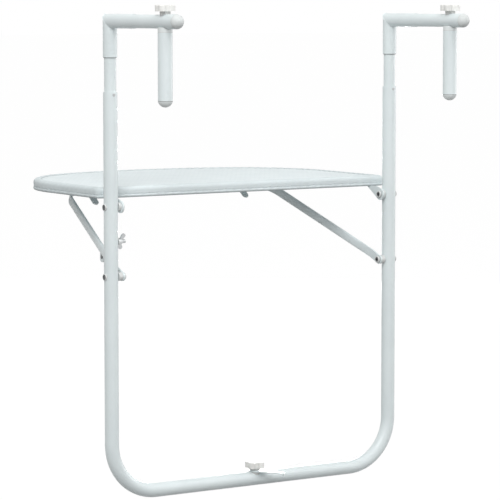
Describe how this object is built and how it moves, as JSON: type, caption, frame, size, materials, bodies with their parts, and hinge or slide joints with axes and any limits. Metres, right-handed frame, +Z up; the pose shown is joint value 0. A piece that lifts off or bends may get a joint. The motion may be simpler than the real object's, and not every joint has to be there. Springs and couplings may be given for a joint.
{
  "type": "hanging balcony table",
  "caption": "Fold-down balcony table: a moulded rattan-look top on a tube frame that hangs from the railing by telescopic hooks with clamping jaws, held level by a strip brace.",
  "frame": {"origin": "midway between the two uprights, in their plane, at the level of the hook arms' undersides, where the arms rest on the rail", "axes": "+X along the railing to the right of a user who faces it, +Y from the user over the rail to its far side, +Z up"},
  "size_m": [0.6064, 0.6379, 0.8359],
  "materials": {
    "frame_paint": "satin white paint",
    "top_plastic": "moulded weave",
    "knob_plastic": "moulded",
    "cap_plastic": "moulded",
    "washer_plastic": "moulded",
    "bolt_steel": "dull zinc",
    "wing_zinc": "dull zinc"
  },
  "bodies": {
    "frame": {"u_frame_tube": "frame_paint", "tube_set_screws": "bolt_steel", "hinge_bolts": "bolt_steel", "hinge_nuts": "bolt_steel", "hinge_washers": "washer_plastic", "brace_bolts": "bolt_steel", "brace_nuts": "bolt_steel", "brace_spacers": "washer_plastic", "lock_stud": "bolt_steel", "lock_washer": "washer_plastic", "foot_insert": "bolt_steel", "foot_saddle": "washer_plastic"},
    "tabletop": {"tabletop_panel": "top_plastic", "right_hinge_bracket": "frame_paint", "left_hinge_bracket": "frame_paint", "bracket_screws": "bolt_steel"},
    "brace": {"brace_strip": "frame_paint", "brace_tongues": "frame_paint", "brace_eye_plate": "frame_paint", "eye_rivet": "bolt_steel"},
    "lock_wing_nut": {"lock_wing_nut": "wing_zinc"},
    "foot_hook": {"foot_hook_plate": "frame_paint"},
    "foot_knob": {"foot_knob": "knob_plastic", "foot_stud": "bolt_steel"},
    "right_hook": {"right_hook_arm": "frame_paint", "right_inner_tube": "frame_paint", "right_arm_cap": "cap_plastic"},
    "right_jaw": {"right_jaw_saddle": "washer_plastic", "right_jaw_tube": "frame_paint", "right_jaw_plug": "washer_plastic", "right_jaw_nut": "bolt_steel", "right_jaw_cap": "cap_plastic", "right_knob_washer": "washer_plastic"},
    "right_jaw_knob": {"right_jaw_knob": "knob_plastic", "right_knob_stud": "bolt_steel"},
    "left_hook": {"left_hook_arm": "frame_paint", "left_inner_tube": "frame_paint", "left_arm_cap": "cap_plastic"},
    "left_jaw": {"left_jaw_saddle": "washer_plastic", "left_jaw_tube": "frame_paint", "left_jaw_plug": "washer_plastic", "left_jaw_nut": "bolt_steel", "left_jaw_cap": "cap_plastic", "left_knob_washer": "washer_plastic"},
    "left_jaw_knob": {"left_jaw_knob": "knob_plastic", "left_knob_stud": "bolt_steel"}
  },
  "joints": [
    {"name": "tabletop_fold", "type": "hinge", "parent": "frame", "child": "tabletop", "pos_m": [0, 0, -0.298], "axis": [1, 0, 0], "range_deg": [0, 90]},
    {"name": "brace_fold", "type": "hinge", "parent": "frame", "child": "brace", "pos_m": [0, 0, -0.415], "axis": [1, 0, 0], "range_deg": [0, 113.06]},
    {"name": "wing_nut_turn", "type": "hinge", "parent": "frame", "child": "lock_wing_nut", "pos_m": [0.27, 0, -0.356], "axis": [1, 0, 0], "continuous": true},
    {"name": "foot_hook_swivel", "type": "hinge", "parent": "frame", "child": "foot_hook", "pos_m": [0, 0, -0.772], "axis": [0, 0, 1], "range_deg": [-92, 38]},
    {"name": "foot_knob_turn", "type": "hinge", "parent": "foot_hook", "child": "foot_knob", "pos_m": [0, 0, -0.76], "axis": [0, 0, 1], "continuous": true},
    {"name": "right_hook_telescope", "type": "slide", "parent": "frame", "child": "right_hook", "axis": [0, 0, 1], "range_m": [-0.055, 0.055]},
    {"name": "right_jaw_slide", "type": "slide", "parent": "right_hook", "child": "right_jaw", "axis": [0, 1, 0], "range_m": [-0.095, 0]},
    {"name": "right_jaw_knob_turn", "type": "hinge", "parent": "right_jaw", "child": "right_jaw_knob", "pos_m": [0.2875, 0.176, 0.03], "axis": [0, 0, 1], "continuous": true},
    {"name": "left_hook_telescope", "type": "slide", "parent": "frame", "child": "left_hook", "axis": [0, 0, 1], "range_m": [-0.055, 0.055]},
    {"name": "left_jaw_slide", "type": "slide", "parent": "left_hook", "child": "left_jaw", "axis": [0, 1, 0], "range_m": [-0.095, 0]},
    {"name": "left_jaw_knob_turn", "type": "hinge", "parent": "left_jaw", "child": "left_jaw_knob", "pos_m": [-0.2875, 0.176, 0.03], "axis": [0, 0, 1], "continuous": true}
  ],
  "couplings": [
    {"joint": "brace_fold", "follows": "tabletop_fold", "ratio": 1.2562}
  ]
}
